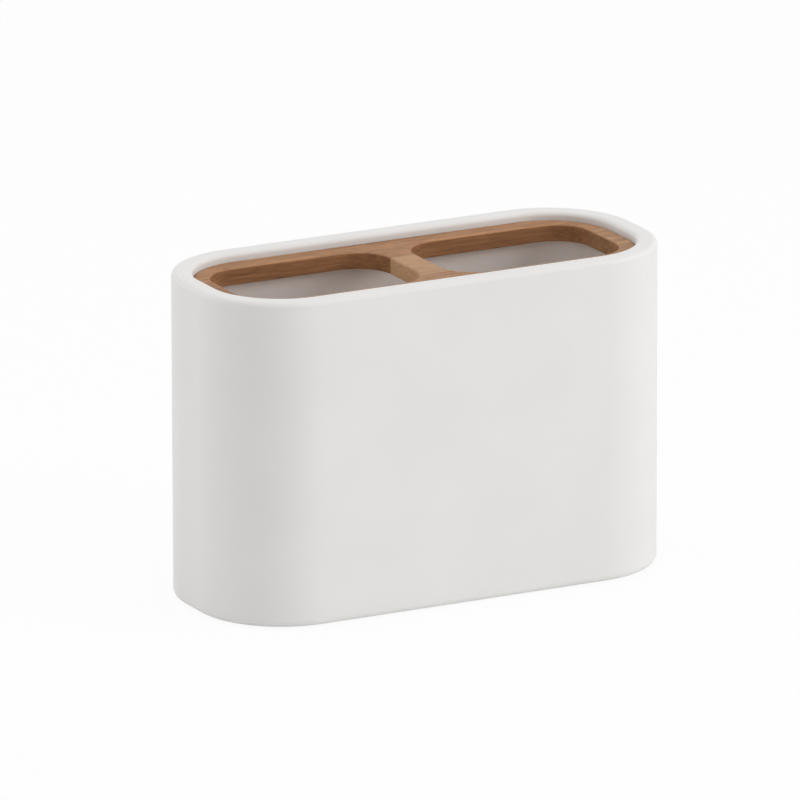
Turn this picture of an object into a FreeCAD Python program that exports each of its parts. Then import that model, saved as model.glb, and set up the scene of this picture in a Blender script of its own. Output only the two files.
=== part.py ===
import FreeCAD, Part
import math
import os
import Sketcher

# Toothbrush holder: a thick-walled cast cup with a stepped mouth, an edge-glued wooden insert with two
# openings that drops into the step, and four round pads under the base.
# Millimetres. X runs along the long side, Y to the rear and Z up.
# The origin is on the ground under the centre.

# Driving sizes, one cell each
SIZES = {
    # Cup, outside
    "body_width": 128.0,
    "body_depth": 56.0,
    "body_height": 85.0,
    "end_flat": 9.0,
    "base_edge_round": 1.8,
    "rim_outer_round": 1.4,
    "rim_inner_round": 1.2,
    # Cup, inside
    "rim_wall": 5.4,
    "ledge_width": 2.5,
    "ledge_edge_round": 0.6,
    "base_thickness": 6.0,
    "cavity_draft": 1.0,
    "cavity_floor_round": 4.0,
    # Wooden insert
    "insert_thickness": 4.5,
    "insert_recess": 2.0,
    "insert_clearance": 0.4,
    "end_rail": 4.7,
    "side_rail": 6.0,
    "bridge_width": 7.2,
    "bridge_straight": 13.6,
    "wood_edge_round": 0.5,
    # Round pads under the base
    "foot_diameter": 12.0,
    "foot_sink": 1.0,
    "foot_proud": 0.3,
    "foot_clearance": 0.2,
    "foot_edge_round": 0.4,
    "foot_end_inset": 18.0,
    "foot_side_inset": 15.0,
    # How far a cutting box reaches past the wood
    "cut_overrun": 2.0,
}

# Widths of the outer staves, as shares of the board's width
SHARES = {
    "rear_stave_share": 0.352,
    "front_stave_share": 0.24,
}

# Sizes that follow from the driving ones
FORMULAS = {
    "corner_radius": "(body_depth - end_flat) / 2",
    "cup_height": "body_height - foot_proud",
    "recess_length": "body_width - 2 * rim_wall",
    "recess_width": "body_depth - 2 * rim_wall",
    "recess_radius": "corner_radius - rim_wall",
    "recess_depth": "insert_recess + insert_thickness",
    "ledge_level": "body_height - recess_depth",
    "mouth_length": "recess_length - 2 * ledge_width",
    "mouth_width": "recess_width - 2 * ledge_width",
    "mouth_radius": "recess_radius - ledge_width",
    "floor_level": "foot_proud + base_thickness",
    "floor_length": "mouth_length - 2 * cavity_draft",
    "floor_width": "mouth_width - 2 * cavity_draft",
    "floor_radius": "mouth_radius - cavity_draft",
    "board_length": "recess_length - 2 * insert_clearance",
    "board_width": "recess_width - 2 * insert_clearance",
    "board_radius": "recess_radius - insert_clearance",
    "board_top": "ledge_level + insert_thickness",
    "opening_length": "(board_length - bridge_width) / 2 - end_rail",
    "opening_width": "board_width - 2 * side_rail",
    "opening_radius": "(opening_width - bridge_straight) / 2",
    "opening_centre": "(bridge_width + opening_length) / 2",
    "rear_stave_width": "board_width * rear_stave_share",
    "front_stave_width": "board_width * front_stave_share",
    "rear_seam": "board_width / 2 - rear_stave_width",
    "front_seam": "front_stave_width - board_width / 2",
    "middle_stave_width": "rear_seam - front_seam",
    "foot_radius": "foot_diameter / 2",
    "foot_seat_radius": "foot_radius + foot_clearance",
    "foot_thickness": "foot_sink + foot_proud",
    "foot_place_x": "body_width / 2 - foot_end_inset",
    "foot_place_y": "body_depth / 2 - foot_side_inset",
    # Boxes that part the board along its glue lines
    "whole_length": "board_length + 2 * cut_overrun",
    "whole_left": "-whole_length / 2",
    "rear_reach": "rear_stave_width + cut_overrun",
    "front_reach": "front_stave_width + cut_overrun",
    "front_start": "front_seam - front_reach",
    "box_height": "insert_thickness + 2 * cut_overrun",
    "box_level": "ledge_level - cut_overrun",
    "bridge_reach": "2 * opening_centre",
    "bridge_left": "-opening_centre",
    "end_reach": "whole_length / 2 - opening_centre",
}

# Where each pad sits: a sign and a size along X, then along Y
FOOT_PLACES = {
    "foot_front_left": ((-1, "foot_place_x"), (-1, "foot_place_y")),
    "foot_front_right": ((1, "foot_place_x"), (-1, "foot_place_y")),
    "foot_rear_left": ((-1, "foot_place_x"), (1, "foot_place_y")),
    "foot_rear_right": ((1, "foot_place_x"), (1, "foot_place_y")),
}

# Staves of the board: left and front edges of the cutting box, then its length and width
STAVES = {
    "rear_stave": ("whole_left", "rear_seam", "whole_length", "rear_reach"),
    "front_stave": ("whole_left", "front_start", "whole_length", "front_reach"),
    "bridge_stave": ("bridge_left", "front_seam", "bridge_reach", "middle_stave_width"),
    "left_end_stave": ("whole_left", "front_seam", "end_reach", "middle_stave_width"),
    "right_end_stave": ("opening_centre", "front_seam", "end_reach", "middle_stave_width"),
}

# Two points are level when they differ by less than this share of the cup's height
LEVEL_SHARE = 1e-6

doc = FreeCAD.newDocument("toothbrush_holder")
sheet = doc.addObject("Spreadsheet::Sheet", "sizes")


def fill_sheet():
    """Write every size into the sheet, one aliased cell to a row."""
    cells = {alias: str(number) for alias, number in {**SIZES, **SHARES}.items()}
    cells.update({alias: "=" + formula for alias, formula in FORMULAS.items()})
    for row, alias in enumerate(cells, start=1):
        sheet.set(f"A{row}", alias)
        sheet.setAlias(f"B{row}", alias)
    for row, content in enumerate(cells.values(), start=1):
        sheet.set(f"B{row}", content)
    doc.recompute()


def size(alias):
    """Return the number that the sheet holds for one alias."""
    return float(getattr(sheet, alias))


def bind(item, **aliases):
    """Tie properties of a document object to cells of the sheet."""
    for name, alias in aliases.items():
        item.setExpression(name, f"{sheet.Name}.{alias}")


def new_body(label):
    """Add an empty body under its node's name."""
    body = doc.addObject("PartDesign::Body", label)
    body.Label = label
    return body


def new_sketch(body, name, level=None):
    """Add a sketch on a body's ground plane, lifted to a level of the sheet."""
    sketch = body.newObject("Sketcher::SketchObject", name)
    ground = next(plane for plane in body.Origin.OriginFeatures if plane.Role == "XY_Plane")
    sketch.AttachmentSupport = [(ground, "")]
    sketch.MapMode = "FlatFace"
    if level:
        sketch.setExpression("AttachmentOffset.Base.z", f"{sheet.Name}.{level}")
    return sketch


def dimension(sketch, name, formula, *constraint):
    """Add a named driving constraint and tie it to a formula of the sheet's aliases."""
    index = sketch.addConstraint(Sketcher.Constraint(*constraint))
    sketch.renameConstraint(index, name)
    sketch.setExpression(f"Constraints.{name}", formula)


def rounded_rectangle(body, name, length, width, radius, level=None, centre=None):
    """Sketch a rectangle with four equal round corners, centred on the Y axis or on a place along X."""
    sketch = new_sketch(body, name, level)
    middle = size(centre) if centre else 0
    bend = size(radius)
    right, left = middle + size(length) / 2, middle - size(length) / 2
    rear, front = size(width) / 2, -size(width) / 2
    sides = [
        ((left + bend, front), (right - bend, front)),
        ((right, front + bend), (right, rear - bend)),
        ((right - bend, rear), (left + bend, rear)),
        ((left, rear - bend), (left, front + bend)),
    ]
    bends = [
        (right - bend, front + bend),
        (right - bend, rear - bend),
        (left + bend, rear - bend),
        (left + bend, front + bend),
    ]
    flat = FreeCAD.Vector
    up = flat(0, 0, 1)
    lines = [sketch.addGeometry(Part.LineSegment(flat(*start), flat(*end))) for start, end in sides]
    arcs = []
    for turn, place in enumerate(bends):
        start = (turn - 1) * math.pi / 2
        circle = Part.Circle(flat(*place), up, bend)
        arcs.append(sketch.addGeometry(Part.ArcOfCircle(circle, start, start + math.pi / 2)))
    for turn, arc in enumerate(arcs):
        following = lines[(turn + 1) % len(lines)]
        sketch.addConstraint(Sketcher.Constraint("Tangent", lines[turn], 2, arc, 1))
        sketch.addConstraint(Sketcher.Constraint("Tangent", arc, 2, following, 1))
    for turn, line in enumerate(lines):
        sketch.addConstraint(Sketcher.Constraint("Vertical" if turn % 2 else "Horizontal", line))
    for arc in arcs[1:]:
        sketch.addConstraint(Sketcher.Constraint("Equal", arcs[0], arc))
    front_line, right_line, rear_line, left_line = lines
    cell = f"{sheet.Name}."
    offset = f" + {cell}{centre}" if centre else ""
    dimension(sketch, "bend", cell + radius, "Radius", arcs[0], bend)
    dimension(sketch, "long", cell + length, "DistanceX", left_line, 1, right_line, 1, right - left)
    dimension(sketch, "wide", cell + width, "DistanceY", front_line, 1, rear_line, 1, rear - front)
    dimension(sketch, "right", f"{cell}{length} / 2{offset}", "DistanceX", -1, 1, right_line, 1, right)
    dimension(sketch, "rear", f"{cell}{width} / 2", "DistanceY", -1, 1, rear_line, 1, rear)
    return sketch


def add_circle(sketch, name, radius, centre):
    """Draw a circle whose radius is tied to a size, and return its number in the sketch."""
    bend = size(radius)
    ring = sketch.addGeometry(Part.Circle(centre, FreeCAD.Vector(0, 0, 1), bend))
    dimension(sketch, name, f"{sheet.Name}.{radius}", "Radius", ring, bend)
    return ring


def sketch_seats(body, level):
    """Sketch the outlines of the seats for the pads, each tied to its place from the centre."""
    sketch = new_sketch(body, "pad_seats", level)
    for label, places in FOOT_PLACES.items():
        spot = FreeCAD.Vector(*(sign * size(alias) for sign, alias in places))
        ring = add_circle(sketch, f"{label}_bend", "foot_seat_radius", spot)
        for kind, (sign, alias) in zip(("DistanceX", "DistanceY"), places):
            points = (-1, 1, ring, 3) if sign > 0 else (ring, 3, -1, 1)
            dimension(sketch, f"{label}_{kind}", f"{sheet.Name}.{alias}", kind, *points, size(alias))
    return sketch


def pad(body, name, sketch, length):
    """Raise a sketch into a solid."""
    feature = body.newObject("PartDesign::Pad", name)
    feature.Profile = sketch
    bind(feature, Length=length)
    doc.recompute()
    return feature


def pocket(body, name, sketch, depth, upwards=False):
    """Sink a sketch into the body, and stop if it took nothing away."""
    before = body.Shape.Volume
    feature = body.newObject("PartDesign::Pocket", name)
    feature.Profile = sketch
    feature.Reversed = upwards
    bind(feature, Length=depth)
    doc.recompute()
    if body.Shape.Volume >= before:
        raise RuntimeError(f"{name} cut nothing")
    return feature


def round_edges(body, name, radius, chosen):
    """Fillet those edges of the body's last feature that a test chooses."""
    base = body.Tip
    edges = [f"Edge{number}" for number, edge in enumerate(base.Shape.Edges, start=1) if chosen(edge)]
    feature = body.newObject("PartDesign::Fillet", name)
    feature.Base = (base, edges)
    bind(feature, Radius=radius)
    doc.recompute()
    return feature


def lies_at(edge, level):
    """Tell whether an edge lies in the level plane at a height."""
    slack = size("body_height") * LEVEL_SHARE
    box = edge.BoundBox
    return abs(box.ZMin - level) < slack and abs(box.ZMax - level) < slack


def lies_within(edge, length, width):
    """Tell whether an edge lies inside or on a rectangle about the origin."""
    slack = size("body_height") * LEVEL_SHARE
    box = edge.BoundBox
    along = max(-box.XMin, box.XMax)
    across = max(-box.YMin, box.YMax)
    return along < length / 2 + slack and across < width / 2 + slack


def make_cup():
    """Cast cup: outer wall, rounded base and rim, stepped mouth, drafted cavity and seats for the pads."""
    body = new_body("cup")
    outline = rounded_rectangle(
        body, "cup_outline", "body_width", "body_depth", "corner_radius", "foot_proud"
    )
    pad(body, "cup_wall", outline, "cup_height")
    round_edges(body, "base_round", "base_edge_round", lambda edge: lies_at(edge, size("foot_proud")))
    round_edges(body, "rim_outside", "rim_outer_round", lambda edge: lies_at(edge, size("body_height")))

    step = rounded_rectangle(
        body, "step_outline", "recess_length", "recess_width", "recess_radius", "body_height"
    )
    pocket(body, "mouth_step", step, "recess_depth")
    round_edges(
        body,
        "rim_inside",
        "rim_inner_round",
        lambda edge: lies_at(edge, size("body_height"))
        and lies_within(edge, size("recess_length"), size("recess_width")),
    )

    mouth = rounded_rectangle(
        body, "mouth_outline", "mouth_length", "mouth_width", "mouth_radius", "ledge_level"
    )
    bottom = rounded_rectangle(
        body, "floor_outline", "floor_length", "floor_width", "floor_radius", "floor_level"
    )
    cavity = body.newObject("PartDesign::SubtractiveLoft", "cavity")
    cavity.Profile = mouth
    cavity.Sections = [bottom]
    cavity.Ruled = True
    doc.recompute()
    round_edges(body, "floor_round", "cavity_floor_round", lambda edge: lies_at(edge, size("floor_level")))
    round_edges(
        body,
        "ledge_round",
        "ledge_edge_round",
        lambda edge: lies_at(edge, size("ledge_level"))
        and lies_within(edge, size("mouth_length"), size("mouth_width")),
    )

    pocket(body, "pad_recess", sketch_seats(body, "foot_proud"), "foot_sink", upwards=True)
    return body


def make_board():
    """Glued-up board of the insert, whole: outline, two openings and softened edges."""
    body = new_body("insert_board")
    outline = rounded_rectangle(
        body, "board_outline", "board_length", "board_width", "board_radius", "ledge_level"
    )
    pad(body, "board", outline, "insert_thickness")
    hole = rounded_rectangle(
        body,
        "opening_outline",
        "opening_length",
        "opening_width",
        "opening_radius",
        "board_top",
        "opening_centre",
    )
    opening = pocket(body, "right_opening", hole, "insert_thickness")
    mirror = body.newObject("PartDesign::Mirrored", "left_opening")
    mirror.Originals = [opening]
    side = next(plane for plane in body.Origin.OriginFeatures if plane.Role == "YZ_Plane")
    mirror.MirrorPlane = (side, [""])
    body.Tip = mirror
    doc.recompute()
    levels = (size("ledge_level"), size("board_top"))
    round_edges(
        body,
        "softened_edges",
        "wood_edge_round",
        lambda edge: any(lies_at(edge, level) for level in levels),
    )
    return body


def make_stave(label, board, left, front, length, width):
    """Cut one stave out of the board between its glue lines."""
    tool = doc.addObject("Part::Box", f"{label}_cut")
    bind(tool, Length=length, Width=width, Height="box_height")
    cell = f"{sheet.Name}."
    tool.setExpression("Placement.Base.x", cell + left)
    tool.setExpression("Placement.Base.y", cell + front)
    tool.setExpression("Placement.Base.z", cell + "box_level")
    stave = doc.addObject("Part::Common", label)
    stave.Label = label
    stave.Base = board
    stave.Tool = tool
    doc.recompute()
    return stave


def make_foot(label, places):
    """Round pad with a softened lower edge, set under one corner of the base."""
    body = new_body(label)
    disc = new_sketch(body, f"{label}_disc")
    ring = add_circle(disc, "bend", "foot_radius", FreeCAD.Vector())
    disc.addConstraint(Sketcher.Constraint("Coincident", ring, 3, -1, 1))
    pad(body, f"{label}_pad", disc, "foot_thickness")
    round_edges(body, f"{label}_round", "foot_edge_round", lambda edge: lies_at(edge, 0))
    for axis, (sign, alias) in zip("xy", places):
        body.setExpression(f"Placement.Base.{axis}", f"{sign} * {sheet.Name}.{alias}")
    doc.recompute()
    return body


def check(sub_parts):
    """Stop if a feature failed, or a sub-part isn't exactly one sound solid."""
    for item in doc.Objects:
        if "Invalid" in item.State or "Error" in item.State:
            raise RuntimeError(f"{item.Label} failed: {item.State}")
    for item in sub_parts:
        if item.Shape.isNull() or not item.Shape.isValid() or len(item.Shape.Solids) != 1:
            raise RuntimeError(f"{item.Label} is not one sound solid")


def main():
    """Build every sub-part, check it and write one STEP file for each."""
    fill_sheet()
    sub_parts = [make_cup()]
    board = make_board()
    sub_parts += [make_stave(label, board, *cut) for label, cut in STAVES.items()]
    sub_parts += [make_foot(label, places) for label, places in FOOT_PLACES.items()]
    doc.recompute()
    check(sub_parts)
    os.makedirs("parts", exist_ok=True)
    for item in sub_parts:
        item.Shape.exportStep(f"parts/{item.Label}.step")
        print(f"{item.Label}: {item.Shape.Volume:.1f} cubic mm")


main()
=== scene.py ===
"""Toothbrush holder: a cast-resin cup, an edge-glued wooden insert and four rubber pads.

Metres throughout. X runs along the long side, Y to the rear and Z up; the origin is under the cup's centre.
"""

import logging
import math
from collections.abc import Callable, Iterator
from contextlib import contextmanager
from dataclasses import dataclass, field
from enum import Enum

import bmesh
import bpy
from mathutils import Matrix, Vector

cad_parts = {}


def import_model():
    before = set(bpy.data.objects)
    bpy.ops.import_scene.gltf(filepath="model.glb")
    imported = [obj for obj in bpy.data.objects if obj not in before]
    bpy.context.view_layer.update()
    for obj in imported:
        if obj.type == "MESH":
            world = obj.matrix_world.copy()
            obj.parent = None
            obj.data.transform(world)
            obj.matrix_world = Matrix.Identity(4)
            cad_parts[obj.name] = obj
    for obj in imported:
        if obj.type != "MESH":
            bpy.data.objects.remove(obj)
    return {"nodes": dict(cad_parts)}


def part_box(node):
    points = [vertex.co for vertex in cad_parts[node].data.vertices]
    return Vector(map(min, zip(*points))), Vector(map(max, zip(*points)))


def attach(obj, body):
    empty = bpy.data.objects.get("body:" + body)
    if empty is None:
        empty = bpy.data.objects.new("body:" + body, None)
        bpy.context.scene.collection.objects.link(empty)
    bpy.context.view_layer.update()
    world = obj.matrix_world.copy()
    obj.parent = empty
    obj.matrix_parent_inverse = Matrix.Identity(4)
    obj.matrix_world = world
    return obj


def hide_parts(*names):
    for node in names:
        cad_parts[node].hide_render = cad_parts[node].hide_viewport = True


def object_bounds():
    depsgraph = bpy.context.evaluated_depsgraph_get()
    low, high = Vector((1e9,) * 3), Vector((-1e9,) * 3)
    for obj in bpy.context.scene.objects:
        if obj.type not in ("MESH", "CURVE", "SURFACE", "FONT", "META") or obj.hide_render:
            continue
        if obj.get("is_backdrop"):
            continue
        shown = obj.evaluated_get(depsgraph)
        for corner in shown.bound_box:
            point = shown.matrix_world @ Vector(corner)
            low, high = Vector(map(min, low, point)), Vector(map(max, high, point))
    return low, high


log = logging.getLogger("toothbrush_holder")

Colour = tuple[float, float, float]
Point = tuple[float, float, float]
Stop = tuple[float, float]

# Two places closer than this are the same place
TOUCH = 0.00005
# A face whose normal rises or falls by more than this looks up or down
LEVEL = 0.5
# Edges that turn by less than this are round stretches and shade smoothly
SMOOTH_ANGLE = math.radians(32)
# Profile of a bevel that makes it a quarter circle
ROUND_PROFILE = 0.5
# Places of the sockets of a colour Mix node, whose names repeat
MIX_SHARE, MIX_FIRST, MIX_SECOND = 0, 6, 7
MIX_RESULT = 2


class Body(Enum):
    """Bodies of the frame that pieces ride on."""

    HOLDER = "holder"
    INSERT = "insert"


class Slot(Enum):
    """Material slots of the record."""

    RESIN = "cast_resin"
    BROWN_WOOD = "brown_wood"
    TAN_WOOD = "tan_wood"
    RUBBER = "pad_rubber"


class Side(Enum):
    """Sides of the insert that hold an opening, as signs along X."""

    LEFT = -1
    RIGHT = 1


def tinted(colour: Colour, level: float) -> Colour:
    """Return a colour made lighter or darker by a factor."""
    return (colour[0] * level, colour[1] * level, colour[2] * level)


def direction(azimuth: float, elevation: float) -> Vector:
    """Return the unit vector towards a viewer, from degrees right of the front and above the ground."""
    turn, rise = math.radians(azimuth), math.radians(elevation)
    return Vector((math.sin(turn) * math.cos(rise), -math.cos(turn) * math.cos(rise), math.sin(rise)))


class Signal:
    """An output socket that takes part in Python expressions, each of which adds a Math node."""

    def __init__(self, shading: "Shading", socket: bpy.types.NodeSocket | None) -> None:
        """Keep the node tree and the socket, None for a node that only takes."""
        self.shading = shading
        self.socket = socket

    def __add__(self, other: "Signal | float") -> "Signal":
        """Sum of two values."""
        return self.shading.math("ADD", self, other)

    def __sub__(self, other: "Signal | float") -> "Signal":
        """Difference of two values."""
        return self.shading.math("SUBTRACT", self, other)

    def __rsub__(self, other: float) -> "Signal":
        """Difference with the number first."""
        return self.shading.math("SUBTRACT", other, self)

    def __mul__(self, other: "Signal | float") -> "Signal":
        """Product of two values."""
        return self.shading.math("MULTIPLY", self, other)

    def __abs__(self) -> "Signal":
        """Size of a value without its sign."""
        return self.shading.math("ABSOLUTE", self)

    def __lt__(self, other: "Signal | float") -> "Signal":
        """Mask of where a value is the smaller one."""
        return self.shading.math("LESS_THAN", self, other)

    def __gt__(self, other: "Signal | float") -> "Signal":
        """Mask of where a value is the larger one."""
        return self.shading.math("GREATER_THAN", self, other)

    def __or__(self, other: "Signal") -> "Signal":
        """Larger of two masks."""
        return self.shading.math("MAXIMUM", self, other)

    __radd__ = __add__
    __rmul__ = __mul__


class Shading:
    """A node tree that is filled one node at a time."""

    def __init__(self, tree: bpy.types.NodeTree) -> None:
        """Empty the tree of a material or world, and keep it."""
        tree.nodes.clear()
        self.tree = tree

    def node(
        self,
        kind: str,
        settings: dict[str, object] | None = None,
        sockets: dict[str | int, object] | None = None,
        output: str | int = 0,
    ) -> Signal:
        """Add a node.

        Args:
            kind: The node's type.
            settings: Its own settings, set first; "stops" is a ramp's list of places and greys.
            sockets: Values of its input sockets, or signals to link to them.
            output: The output socket that is wanted.

        Returns:
            The output as a signal.
        """
        made = self.tree.nodes.new(kind)
        for name, setting in (settings or {}).items():
            if name == "stops":
                self._set_stops(made.color_ramp, setting)
            else:
                setattr(made, name, setting)
        for name, value in (sockets or {}).items():
            if isinstance(value, Signal):
                self.tree.links.new(value.socket, made.inputs[name])
            else:
                made.inputs[name].default_value = value
        return Signal(self, made.outputs[output] if made.outputs else None)

    @staticmethod
    def _set_stops(ramp: bpy.types.ColorRamp, stops: list[Stop]) -> None:
        """Give a ramp its stops, each a place and a grey."""
        while len(ramp.elements) < len(stops):
            ramp.elements.new(1.0)
        for element, (place, grey) in zip(ramp.elements, stops):
            element.position = place
            element.color = (grey, grey, grey, 1.0)

    def math(self, operation: str, *values: Signal | float) -> Signal:
        """Add a Math node on one or two values."""
        return self.node("ShaderNodeMath", {"operation": operation}, dict(enumerate(values)))

    def ramp(self, value: Signal, *stops: Stop) -> Signal:
        """Turn a value into a mask through a ramp of places and greys."""
        return self.node("ShaderNodeValToRGB", {"stops": list(stops)}, {"Fac": value})

    def mix(self, first: Colour | Signal, second: Colour | Signal, share: Signal) -> Signal:
        """Blend two colours by a mask."""
        ends = [end if isinstance(end, Signal) else (*end, 1.0) for end in (first, second)]
        sockets = {MIX_SHARE: share, MIX_FIRST: ends[0], MIX_SECOND: ends[1]}
        return self.node("ShaderNodeMix", {"data_type": "RGBA"}, sockets, output=MIX_RESULT)

    def position(self) -> Signal:
        """Place on the piece, in metres of the frame."""
        return self.node("ShaderNodeTexCoord", output="Object")

    def axes(self, vector: Signal) -> tuple[Signal, Signal, Signal]:
        """Return the X, Y and Z of a vector."""
        along, across, up = (
            self.node("ShaderNodeSeparateXYZ", sockets={0: vector}, output=name) for name in "XYZ"
        )
        return along, across, up

    def noise(
        self, per_metre: Point, shift: Point = (0.0, 0.0, 0.0), detail: float = 4.0, rough: float = 0.5
    ) -> Signal:
        """Add a noise that is stretched over the piece.

        Args:
            per_metre: How often it changes along X, Y and Z.
            shift: Where in the pattern the piece lies.
            detail: Number of finer layers.
            rough: Strength of the finer layers.

        Returns:
            A value about one half.
        """
        sockets = {"Vector": self.position(), "Location": shift, "Scale": per_metre}
        place = self.node("ShaderNodeMapping", sockets=sockets)
        sockets = {"Vector": place, "Scale": 1.0, "Detail": detail, "Roughness": rough}
        return self.node("ShaderNodeTexNoise", sockets=sockets)

    def bump(self, height: Signal, strength: float, distance: float) -> Signal:
        """Tilt the surface by a height."""
        sockets = {"Height": height, "Strength": strength, "Distance": distance}
        return self.node("ShaderNodeBump", sockets=sockets)

    def surface(self, sockets: dict[str | int, object]) -> None:
        """Close the tree with a Principled surface."""
        shader = self.node("ShaderNodeBsdfPrincipled", sockets=sockets)
        self.node("ShaderNodeOutputMaterial", sockets={"Surface": shader})

    def seen(self) -> Signal:
        """Mask of the rays on which a background shows."""
        names = ("Is Camera Ray", "Is Glossy Ray", "Is Transmission Ray")
        camera, glossy, clear = (self.node("ShaderNodeLightPath", output=name) for name in names)
        return camera | glossy | clear


def new_material(name: str) -> tuple[bpy.types.Material, Shading]:
    """Return an empty material and its shading."""
    material = bpy.data.materials.new(name)
    material.use_nodes = True
    return material, Shading(material.node_tree)


@dataclass(frozen=True)
class Outline:
    """Rectangle with four equal round corners, in plan."""

    half_length: float
    half_width: float
    radius: float
    x: float = 0.0
    y: float = 0.0

    def gap(self, point: Vector) -> float:
        """Return how far a point lies outside the outline, negative inside."""
        along = abs(point.x - self.x) - self.half_length + self.radius
        across = abs(point.y - self.y) - self.half_width + self.radius
        outside = math.hypot(max(along, 0.0), max(across, 0.0))
        return outside + min(max(along, across), 0.0) - self.radius

    def meets(self, point: Vector) -> bool:
        """Tell whether the outline passes through a point."""
        return abs(self.gap(point)) < TOUCH

    def shrunk(self, step: float) -> "Outline":
        """Return the outline moved inwards all round."""
        return Outline(
            self.half_length - step, self.half_width - step, self.radius - step, self.x, self.y
        )


@dataclass(frozen=True)
class ResinFinish:
    """Matt mineral-filled resin: pale, faintly clouded and finely grained; brighter and warmer in the cavity
    as painted bounce light.
    """

    pale: Colour = (0.860, 0.850, 0.834)
    cloud: Colour = (0.835, 0.823, 0.806)
    # Painted bounce light: the cavity's tone is brighter and warmer than the resin, standing in for warm
    # light reflected from the wood
    inner: Colour = (0.900, 0.845, 0.805)
    clouds: Point = (40.0, 40.0, 40.0)
    cloud_detail: float = 5.0
    cloud_range: tuple[Stop, Stop] = ((0.35, 0.0), (0.65, 1.0))
    grain: Point = (3500.0, 3500.0, 3500.0)
    grain_detail: float = 2.0
    grain_share: float = 0.25
    least_roughness: float = 0.5
    grain_roughness: float = 0.12
    grain_strength: float = 0.08
    grain_height: float = 0.0001
    specular: float = 0.3

    def material(self, cavity: Outline, low: float, high: float) -> bpy.types.Material:
        """Return the finish as a material.

        Args:
            cavity: Outline of the mouth of the cavity, which gets the painted bounce light.
            low: Height under the cavity's floor.
            high: Height of the cavity's mouth.

        Returns:
            The material.
        """
        material, shading = new_material("cast_resin")
        cloudy = shading.ramp(shading.noise(self.clouds, detail=self.cloud_detail), *self.cloud_range)
        grain = shading.noise(self.grain, detail=self.grain_detail)
        along, across, up = shading.axes(shading.position())
        # Mask of the cavity, which gets the painted bounce light
        inside = (abs(along) < cavity.half_length + TOUCH) * (abs(across) < cavity.half_width + TOUCH)
        inside = inside * (up > low) * (up < high)
        blotch = cloudy * (1 - self.grain_share) + grain * self.grain_share
        outer = shading.mix(self.pale, self.cloud, blotch)
        shading.surface(
            {
                "Base Color": shading.mix(outer, self.inner, inside),
                "Roughness": self.least_roughness + grain * self.grain_roughness,
                "Normal": shading.bump(grain, self.grain_strength, self.grain_height),
                "Specular IOR Level": self.specular,
            }
        )
        return material


@dataclass(frozen=True)
class WoodFinish:
    """Fine-grained wood, its fibres along X: another tone on upright cuts, and a painted highlight along
    rounded edges.
    """

    node: str
    slot: Slot
    face: Colour
    wall: Colour
    shift: Point
    drift: Point = (9.0, 260.0, 420.0)
    drift_detail: float = 3.0
    fibre: Point = (80.0, 640.0, 1700.0)
    fibre_detail: float = 6.0
    fibre_rough: float = 0.62
    pore: Point = (260.0, 1500.0, 2200.0)
    pore_detail: float = 2.0
    drift_share: float = 0.35
    tone_range: tuple[Stop, Stop] = ((0.36, 0.0), (0.64, 1.0))
    pore_range: tuple[Stop, Stop] = ((0.56, 0.0), (0.70, 1.0))
    wall_range: tuple[Stop, Stop] = ((0.20, 1.0), (0.70, 0.0))
    # Where the painted highlight sits, by how upright the surface is
    highlight_range: tuple[Stop, Stop, Stop] = ((0.45, 0.0), (0.75, 1.0), (0.98, 0.0))
    dark_fibre: float = 0.70
    pale_fibre: float = 1.26
    dark_pore: float = 0.5
    pore_share: float = 0.36
    # How much lighter the painted highlight is, and how much of it shows
    highlight_level: float = 1.25
    highlight_share: float = 0.55
    least_roughness: float = 0.58
    fibre_roughness: float = 0.1
    pore_roughness: float = 0.15
    fibre_strength: float = 0.2
    fibre_height: float = 0.0002
    specular: float = 0.2

    def material(self) -> bpy.types.Material:
        """Return the finish as a material."""
        material, shading = new_material(f"{self.node}_wood")
        drift = shading.noise(self.drift, self.shift, self.drift_detail)
        fibre = shading.noise(self.fibre, self.shift, self.fibre_detail, self.fibre_rough)
        pores = shading.noise(self.pore, self.shift, self.pore_detail)
        tone = shading.ramp(
            fibre * (1 - self.drift_share) + drift * self.drift_share, *self.tone_range
        )
        pore = shading.ramp(pores, *self.pore_range)
        _, _, lift = shading.axes(shading.node("ShaderNodeTexCoord", output="Normal"))
        wall = shading.ramp(abs(lift), *self.wall_range)
        # Mask of the rounded edges, which get the painted highlight
        edge = shading.ramp(abs(lift), *self.highlight_range)
        faces = shading.mix(tinted(self.face, self.dark_fibre), tinted(self.face, self.pale_fibre), tone)
        walls = shading.mix(tinted(self.wall, self.dark_fibre), tinted(self.wall, self.pale_fibre), tone)
        wood = shading.mix(faces, walls, wall)
        # Painted highlight: the face tone, lightened, along the rounded edges
        wood = shading.mix(wood, tinted(self.face, self.highlight_level), edge * self.highlight_share)
        wood = shading.mix(wood, tinted(self.wall, self.dark_pore), pore * self.pore_share)
        shading.surface(
            {
                "Base Color": wood,
                "Roughness": self.least_roughness + tone * self.fibre_roughness + pore * self.pore_roughness,
                "Normal": shading.bump(tone - pore, self.fibre_strength, self.fibre_height),
                "Specular IOR Level": self.specular,
            }
        )
        return material


@dataclass(frozen=True)
class RubberFinish:
    """Soft grey rubber with a fine moulded grain."""

    pale: Colour = (0.57, 0.56, 0.54)
    dusty: Colour = (0.50, 0.49, 0.475)
    grain: Point = (2200.0, 2200.0, 2200.0)
    grain_detail: float = 3.0
    least_roughness: float = 0.7
    grain_roughness: float = 0.15
    grain_strength: float = 0.25
    grain_height: float = 0.0001

    def material(self) -> bpy.types.Material:
        """Return the finish as a material."""
        material, shading = new_material("pad_rubber")
        grain = shading.noise(self.grain, detail=self.grain_detail)
        shading.surface(
            {
                "Base Color": shading.mix(self.pale, self.dusty, grain),
                "Roughness": self.least_roughness + grain * self.grain_roughness,
                "Normal": shading.bump(grain, self.grain_strength, self.grain_height),
            }
        )
        return material


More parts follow.
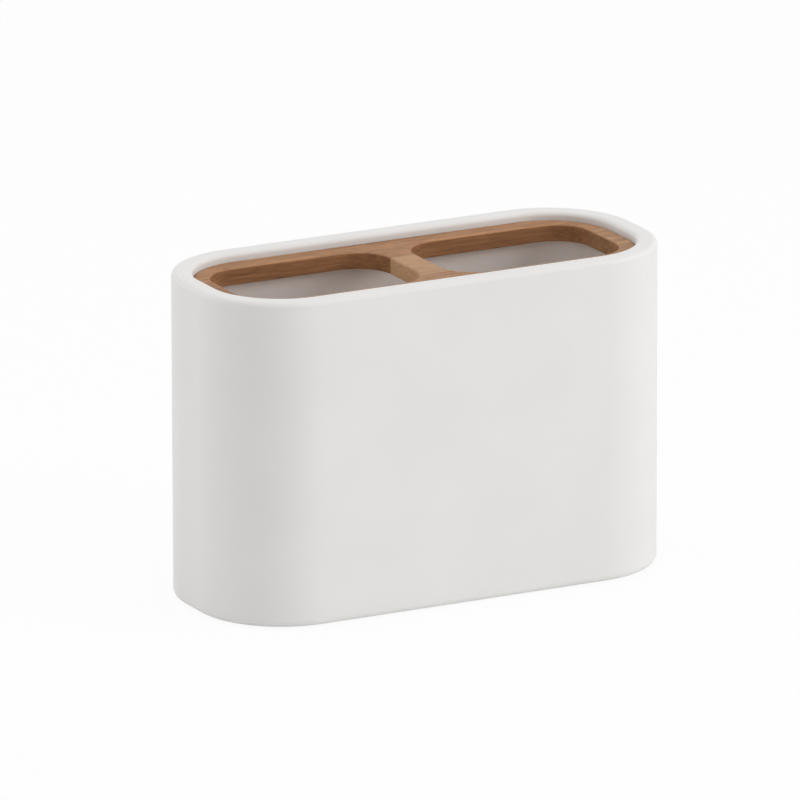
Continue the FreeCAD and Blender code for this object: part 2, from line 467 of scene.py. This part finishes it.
@dataclass(frozen=True)
class FloorFinish:
    """White sweep that shows as the white background and keeps a faint shadow."""

    card: Colour = (0.95, 0.95, 0.95)
    glow_share: float = 0.92

    def material(self) -> bpy.types.Material:
        """Return the finish as a material."""
        material, shading = new_material("white_sweep")
        card = shading.node("ShaderNodeBsdfDiffuse", sockets={"Color": (*self.card, 1.0)})
        glow = shading.node("ShaderNodeEmission", sockets={"Strength": 1.0})
        share = shading.seen() * self.glow_share
        blend = shading.node("ShaderNodeMixShader", sockets={0: share, 1: card, 2: glow})
        shading.node("ShaderNodeOutputMaterial", sockets={"Surface": blend})
        return material


def looks_up(middle: Vector, normal: Vector) -> bool:
    """Tell whether a face looks up."""
    return normal.z > LEVEL


def looks_down(middle: Vector, normal: Vector) -> bool:
    """Tell whether a face looks down."""
    return normal.z < -LEVEL


class Bench:
    """One mesh under the modelling tools, worked on as by hand."""

    def __init__(self, piece: bpy.types.Object) -> None:
        """Keep the object to work on."""
        self.piece = piece

    @classmethod
    def _settle(cls, name: str) -> "Bench":
        """Name the primitive just added and leave its place in its mesh."""
        piece = bpy.context.object
        piece.name = name
        piece.data.name = name
        bpy.ops.object.transform_apply(location=True, rotation=True, scale=True)
        return cls(piece)

    @classmethod
    def block(cls, name: str, low: Vector, high: Vector) -> "Bench":
        """Start from a box between two corners."""
        bpy.ops.object.select_all(action="DESELECT")
        bpy.ops.mesh.primitive_cube_add(size=1.0, location=(low + high) / 2, scale=high - low)
        return cls._settle(name)

    @classmethod
    def disc(cls, name: str, low: Vector, radius: float, height: float, sides: int) -> "Bench":
        """Start from an upright cylinder on the middle of its lower face."""
        bpy.ops.object.select_all(action="DESELECT")
        middle = low + Vector((0.0, 0.0, height / 2))
        bpy.ops.mesh.primitive_cylinder_add(vertices=sides, radius=radius, depth=height, location=middle)
        return cls._settle(name)

    def select(self) -> None:
        """Make this the only selected object, and the active one."""
        bpy.ops.object.select_all(action="DESELECT")
        self.piece.select_set(True)
        bpy.context.view_layer.objects.active = self.piece

    def copy(self, name: str) -> "Bench":
        """Return a copy with its own mesh."""
        self.select()
        bpy.ops.object.duplicate(linked=False)
        return self._settle(name)

    def discard(self) -> None:
        """Throw the object away."""
        self.select()
        bpy.ops.object.delete()

    @contextmanager
    def editing(self) -> Iterator[None]:
        """Stay in edit mode, with nothing selected at first."""
        self.select()
        bpy.ops.object.mode_set(mode="EDIT")
        bpy.ops.mesh.select_all(action="DESELECT")
        yield
        bpy.ops.object.mode_set(mode="OBJECT")

    def pick_faces(self, chosen: Callable[[Vector, Vector], bool]) -> None:
        """Select the faces that a test on their middle and normal chooses."""
        bpy.ops.mesh.select_mode(type="FACE")
        bpy.ops.mesh.select_all(action="DESELECT")
        mesh = bmesh.from_edit_mesh(self.piece.data)
        for face in mesh.faces:
            if chosen(face.calc_center_median(), face.normal):
                face.select_set(True)
        bmesh.update_edit_mesh(self.piece.data)

    def pick_edges(self, chosen: Callable[[Vector, Vector], bool]) -> None:
        """Select the edges that a test on their two ends chooses."""
        bpy.ops.mesh.select_mode(type="EDGE")
        bpy.ops.mesh.select_all(action="DESELECT")
        mesh = bmesh.from_edit_mesh(self.piece.data)
        for edge in mesh.edges:
            if chosen(*(corner.co for corner in edge.verts)):
                edge.select_set(True)
        bmesh.update_edit_mesh(self.piece.data)

    def pick_ring(self, outline: Outline, level: float) -> None:
        """Select the edges of an outline at a height."""
        self.pick_edges(
            lambda *ends: all(abs(end.z - level) < TOUCH and outline.meets(end) for end in ends)
        )

    def bevel(self, radius: float, segments: int) -> None:
        """Round the selected edges."""
        bpy.ops.mesh.bevel(offset=radius, segments=segments, profile=ROUND_PROFILE, affect="EDGES")

    def round_corners(self, radius: float, segments: int) -> None:
        """Round the upright edges."""
        with self.editing():
            self.pick_edges(lambda first, last: (first - last).to_2d().length < TOUCH)
            self.bevel(radius, segments)

    def round_ring(self, outline: Outline, level: float, radius: float, segments: int) -> None:
        """Round the edges of an outline at a height."""
        with self.editing():
            self.pick_ring(outline, level)
            self.bevel(radius, segments)

    def saw(self, place: Vector, away: Vector) -> None:
        """Saw the mesh through at a plane, drop the side that the normal points to and close the cut."""
        with self.editing():
            bpy.ops.mesh.select_all(action="SELECT")
            bpy.ops.mesh.bisect(plane_co=place, plane_no=away, use_fill=True, clear_outer=True)

    def apply(self, modifier: bpy.types.Modifier) -> None:
        """Apply a modifier to the mesh."""
        self.select()
        bpy.ops.object.modifier_apply(modifier=modifier.name)

    def cut(self, cutter: "Bench") -> None:
        """Take another shape out of this one, and throw that shape away."""
        modifier = self.piece.modifiers.new("cut", "BOOLEAN")
        modifier.operation = "DIFFERENCE"
        modifier.solver = "EXACT"
        modifier.object = cutter.piece
        self.apply(modifier)
        cutter.discard()

    def finish(self, material: bpy.types.Material) -> bpy.types.Object:
        """Shade round stretches smooth and flats flat, and put a material on.

        Args:
            material: The only material of the piece.

        Returns:
            The finished object.
        """
        self.select()
        bpy.ops.object.shade_smooth_by_angle(angle=SMOOTH_ANGLE)
        modifier = self.piece.modifiers.new("flat_faces", "WEIGHTED_NORMAL")
        modifier.keep_sharp = True
        self.apply(modifier)
        self.piece.data.materials.clear()
        self.piece.data.materials.append(material)
        return self.piece


def hand_over(piece: bpy.types.Object, body: Body, node: str) -> None:
    """Let a piece ride on a body in the place of a node, whose mesh is hidden."""
    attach(piece, body.value)
    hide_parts(node)
    log.info("%s: %d faces", piece.name, len(piece.data.polygons))


@dataclass
class Pads:
    """Four round non-slip pads, let into seats under the base."""

    nodes: tuple[str, ...] = ("foot_front_left", "foot_front_right", "foot_rear_left", "foot_rear_right")
    edge_round: float = 0.0004
    clearance: float = 0.0002
    dish_inset: float = 0.0016
    dish_depth: float = 0.00025
    sides: int = 64
    edge_segments: int = 4

    def place(self, node: str) -> tuple[Vector, float, float]:
        """Return the middle of a pad's lower face, its radius and its height."""
        low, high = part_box(node)
        middle = Vector(((low.x + high.x) / 2, (low.y + high.y) / 2, low.z))
        return middle, (high.x - low.x) / 2, high.z - low.z

    def seats(self, overrun: float) -> list[Bench]:
        """Return the shapes of the seats, reaching below the base by an overrun."""
        shapes = []
        for node in self.nodes:
            middle, radius, height = self.place(node)
            low = middle - Vector((0.0, 0.0, overrun))
            wide = radius + self.clearance
            shapes.append(Bench.disc(f"{node}_seat", low, wide, height + overrun, self.sides))
        return shapes

    def build(self) -> None:
        """Model one pad, copy it to each seat and dress the copies."""
        rubber = RubberFinish().material()
        first, radius, height = self.place(self.nodes[0])
        pattern = Bench.disc("pad_pattern", first, radius, height, self.sides)
        with pattern.editing():
            pattern.pick_faces(looks_down)
            bpy.ops.mesh.inset(thickness=self.dish_inset)
            bpy.ops.mesh.inset(thickness=self.dish_depth, depth=-self.dish_depth)
        rim = Outline(radius, radius, radius, first.x, first.y)
        pattern.round_ring(rim, first.z, self.edge_round, self.edge_segments)
        for node in self.nodes:
            middle, _, _ = self.place(node)
            pad = pattern.copy(f"{node}_pad")
            pad.piece.data.transform(Matrix.Translation(middle - first))
            hand_over(pad.finish(rubber), Body.HOLDER, node)
        pattern.discard()


@dataclass
class Cup:
    """Thick-walled cast cup with a stepped mouth and a drafted cavity."""

    corner_radius: float = 0.0235
    rim_wall: float = 0.0054
    rim_outer_round: float = 0.0014
    rim_inner_round: float = 0.0012
    ledge_width: float = 0.0025
    ledge_round: float = 0.0006
    base_thickness: float = 0.006
    base_round: float = 0.0018
    cavity_draft: float = 0.001
    floor_round: float = 0.004
    overrun: float = 0.0018
    corner_segments: int = 32
    round_segments: int = 6
    low: Vector = field(init=False)
    high: Vector = field(init=False)
    ledge_level: float = field(init=False)

    def __post_init__(self) -> None:
        """Take the outside and the height of the ledge from the frame."""
        self.low, self.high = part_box("cup")
        self.ledge_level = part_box("rear_stave")[0].z

    def build(self, pads: Pads) -> None:
        """Model the cup and dress it.

        Args:
            pads: The pads that the base has seats for.
        """
        floor_level = self.low.z + self.base_thickness
        outside = Outline(self.high.x, self.high.y, self.corner_radius)
        recess = outside.shrunk(self.rim_wall)
        mouth = recess.shrunk(self.ledge_width)
        floor = mouth.shrunk(self.cavity_draft)
        bench = Bench.block("resin_cup", self.low, self.high)
        bench.round_corners(self.corner_radius, self.corner_segments)
        with bench.editing():
            bench.pick_faces(looks_up)
            bpy.ops.mesh.inset(thickness=self.rim_wall)
            drop = (0.0, 0.0, self.ledge_level - self.high.z)
            bpy.ops.mesh.extrude_region_move(TRANSFORM_OT_translate={"value": drop})
            bpy.ops.mesh.inset(thickness=self.ledge_width)
            bpy.ops.mesh.inset(thickness=self.cavity_draft, depth=floor_level - self.ledge_level)
        rounds = (
            (outside, self.high.z, self.rim_outer_round),
            (recess, self.high.z, self.rim_inner_round),
            (mouth, self.ledge_level, self.ledge_round),
            (floor, floor_level, self.floor_round),
            (outside, self.low.z, self.base_round),
        )
        for outline, level, radius in rounds:
            bench.round_ring(outline, level, radius, self.round_segments)
        for seat in pads.seats(self.overrun):
            bench.cut(seat)
        # The cavity between these heights gets the resin's painted bounce light
        resin = ResinFinish().material(mouth, floor_level - self.overrun, self.ledge_level - TOUCH)
        hand_over(bench.finish(resin), Body.HOLDER, "cup")


@dataclass(frozen=True)
class SawCut:
    """Upright plane through the board; what lies on the side that it faces is dropped."""

    place: Vector
    away: Vector

    def turned(self) -> "SawCut":
        """Return the cut that keeps the other side."""
        return SawCut(self.place, -self.away)


@dataclass
class Insert:
    """Edge-glued wooden board with two openings, sawn into the staves that it was glued up from."""

    rear_wood: WoodFinish = WoodFinish(
        "rear_stave", Slot.BROWN_WOOD, (0.395, 0.205, 0.104), (0.325, 0.150, 0.066), (0.0, 0.0, 0.0)
    )
    front_wood: WoodFinish = WoodFinish(
        "front_stave", Slot.BROWN_WOOD, (0.395, 0.218, 0.120), (0.325, 0.150, 0.066), (3.1, 7.7, 2.9)
    )
    # Bridge stave: its upright cuts are paler than its face, painted light that lifts their shade to the
    # brightness of the face
    bridge_wood: WoodFinish = WoodFinish(
        "bridge_stave",
        Slot.TAN_WOOD,
        (0.480, 0.288, 0.158),
        (0.590, 0.352, 0.192),
        (11.3, 1.9, 5.3),
        dark_fibre=0.84,
        pale_fibre=1.14,
        pore_share=0.12,
    )
    # Left end stave: its upright cuts are darker than the other staves' cuts, painted shade of that end of
    # the insert
    left_wood: WoodFinish = WoodFinish(
        "left_end_stave", Slot.BROWN_WOOD, (0.380, 0.198, 0.103), (0.240, 0.108, 0.048), (5.9, 13.1, 8.1)
    )
    right_wood: WoodFinish = WoodFinish(
        "right_end_stave", Slot.BROWN_WOOD, (0.430, 0.240, 0.130), (0.330, 0.170, 0.078), (17.3, 4.3, 1.7)
    )
    board_radius: float = 0.0177
    end_rail: float = 0.0047
    side_rail: float = 0.006
    bridge_width: float = 0.0072
    opening_radius: float = 0.0094
    edge_round: float = 0.0005
    overrun: float = 0.002
    corner_segments: int = 24
    edge_segments: int = 4
    low: Vector = field(init=False)
    high: Vector = field(init=False)
    rear_seam: float = field(init=False)
    front_seam: float = field(init=False)

    def __post_init__(self) -> None:
        """Take the board's corners and its glue lines from the frame."""
        rear_low, self.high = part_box("rear_stave")
        self.low, front_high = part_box("front_stave")
        self.low.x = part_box("left_end_stave")[0].x
        self.high.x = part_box("right_end_stave")[1].x
        self.rear_seam = rear_low.y
        self.front_seam = front_high.y

    def opening(self, side: Side) -> Outline:
        """Return the outline of the opening on one side."""
        inner = self.bridge_width / 2
        outer = self.high.x - self.end_rail
        half_width = self.high.y - self.side_rail
        middle = side.value * (outer + inner) / 2
        return Outline((outer - inner) / 2, half_width, self.opening_radius, middle)

    def router(self, outline: Outline) -> Bench:
        """Return the shape that is routed out for one opening."""
        reach = Vector((outline.half_length, outline.half_width, 0.0))
        low = Vector((outline.x, outline.y, self.low.z - self.overrun)) - reach
        high = Vector((outline.x, outline.y, self.high.z + self.overrun)) + reach
        bench = Bench.block("router", low, high)
        bench.round_corners(outline.radius, self.corner_segments)
        return bench

    def board(self) -> Bench:
        """Return the whole board: outline, openings and softened edges."""
        bench = Bench.block("board", self.low, self.high)
        bench.round_corners(self.board_radius, self.corner_segments)
        openings = [self.opening(side) for side in Side]
        for outline in openings:
            bench.cut(self.router(outline))
        for outline in (Outline(self.high.x, self.high.y, self.board_radius), *openings):
            for level in (self.low.z, self.high.z):
                bench.round_ring(outline, level, self.edge_round, self.edge_segments)
        return bench

    def staves(self) -> list[tuple[WoodFinish, list[SawCut]]]:
        """Return the wood of each stave with the saw cuts that part it from the board."""
        reach = self.opening(Side.RIGHT).x
        rear = SawCut(Vector((0.0, self.rear_seam, 0.0)), Vector((0.0, 1.0, 0.0)))
        front = SawCut(Vector((0.0, self.front_seam, 0.0)), Vector((0.0, -1.0, 0.0)))
        right = SawCut(Vector((reach, 0.0, 0.0)), Vector((1.0, 0.0, 0.0)))
        left = SawCut(Vector((-reach, 0.0, 0.0)), Vector((-1.0, 0.0, 0.0)))
        return [
            (self.rear_wood, [rear.turned()]),
            (self.front_wood, [front.turned()]),
            (self.bridge_wood, [rear, front, right, left]),
            (self.left_wood, [rear, front, left.turned()]),
            (self.right_wood, [rear, front, right.turned()]),
        ]

    def build(self) -> None:
        """Saw the board into its staves and dress each one."""
        board = self.board()
        for wood, cuts in self.staves():
            stave = board.copy(f"{wood.node}_wood")
            for cut in cuts:
                stave.saw(cut.place, cut.away)
            hand_over(stave.finish(wood.material()), Body.INSERT, wood.node)
        board.discard()


@dataclass(frozen=True)
class Lamp:
    """Soft square lamp at a direction from the object."""

    name: str
    azimuth: float
    elevation: float
    level: float
    distance: float
    width: float

    def build(self, target: Vector) -> None:
        """Hang the lamp so that a matt white card facing it shows its level.

        Args:
            target: The point that the lamp faces.
        """
        back = direction(self.azimuth, self.elevation)
        lamp = bpy.data.lights.new(self.name, "AREA")
        lamp.size = self.width
        lamp.energy = self.level * math.pi**2 * self.distance**2
        holder = bpy.data.objects.new(self.name, lamp)
        holder.location = target + back * self.distance
        holder.rotation_euler = back.to_track_quat("Z", "Y").to_euler()
        bpy.context.scene.collection.objects.link(holder)


@dataclass
class Studio:
    """White sweep, even surrounding light, three soft lamps and the camera."""

    floor_size: float = 12.0
    floor_gap: float = 0.0001
    surround: float = 0.5
    lamps: tuple[Lamp, ...] = (
        Lamp("right_lamp", azimuth=50.0, elevation=20.0, level=0.32, distance=1.6, width=0.8),
        Lamp("left_lamp", azimuth=-137.0, elevation=15.0, level=0.24, distance=1.6, width=1.2),
        Lamp("top_lamp", azimuth=0.0, elevation=85.0, level=0.29, distance=1.6, width=1.2),
    )
    azimuth: float = -27.6
    elevation: float = 15.97
    roll: float = -0.14
    distance: float = 3.508
    lens: float = 622.6
    sensor: float = 36.0
    aim_left: float = 0.00393
    aim_up: float = 0.00408

    def build_floor(self) -> None:
        """Lay the white sweep under the object."""
        bpy.ops.object.select_all(action="DESELECT")
        bpy.ops.mesh.primitive_plane_add(size=self.floor_size, location=(0.0, 0.0, -self.floor_gap))
        floor = bpy.context.object
        floor.name = "white_sweep"
        floor.data.materials.append(FloorFinish().material())
        floor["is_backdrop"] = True

    def build_world(self) -> None:
        """Surround the object with even light that shows white to the camera."""
        world = bpy.data.worlds.new("surround")
        world.use_nodes = True
        shading = Shading(world.node_tree)
        white = (1.0, 1.0, 1.0, 1.0)
        light, shown = (
            shading.node("ShaderNodeBackground", sockets={"Color": white, "Strength": strength})
            for strength in (self.surround, 1.0)
        )
        blend = shading.node("ShaderNodeMixShader", sockets={0: shading.seen(), 1: light, 2: shown})
        shading.node("ShaderNodeOutputWorld", sockets={"Surface": blend})
        bpy.context.scene.world = world

    def build_camera(self, centre: Vector) -> None:
        """Set up the camera at the photograph's viewpoint.

        Args:
            centre: The middle of the object.
        """
        back = direction(self.azimuth, self.elevation)
        place = centre + back * self.distance
        right = Vector((0.0, 0.0, 1.0)).cross(back).normalized()
        up = back.cross(right)
        aim = centre - right * self.aim_left + up * self.aim_up
        turn = (place - aim).to_track_quat("Z", "Y").to_matrix()
        turn = turn @ Matrix.Rotation(math.radians(self.roll), 3, "Z")
        data = bpy.data.cameras.new("camera")
        data.lens = self.lens
        data.sensor_width = self.sensor
        camera = bpy.data.objects.new("camera", data)
        camera.matrix_world = Matrix.Translation(place) @ turn.to_4x4()
        bpy.context.scene.collection.objects.link(camera)
        bpy.context.scene.camera = camera

    def build(self, centre: Vector) -> None:
        """Set up floor, light and camera around the object.

        Args:
            centre: The middle of the object.
        """
        self.build_floor()
        self.build_world()
        for lamp in self.lamps:
            lamp.build(centre)
        self.build_camera(centre)
        bpy.context.scene.view_settings.view_transform = "Standard"


def main() -> None:
    """Load the frame, build and dress every piece, and set up the studio."""
    logging.basicConfig(level=logging.INFO, format="%(name)s: %(message)s")
    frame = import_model()
    log.info("frame: %d nodes", len(frame["nodes"]))
    cad_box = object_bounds()
    pads = Pads()
    Cup().build(pads)
    pads.build()
    Insert().build()
    Studio().build((cad_box[0] + cad_box[1]) / 2)


if __name__ == "__main__":
    main()
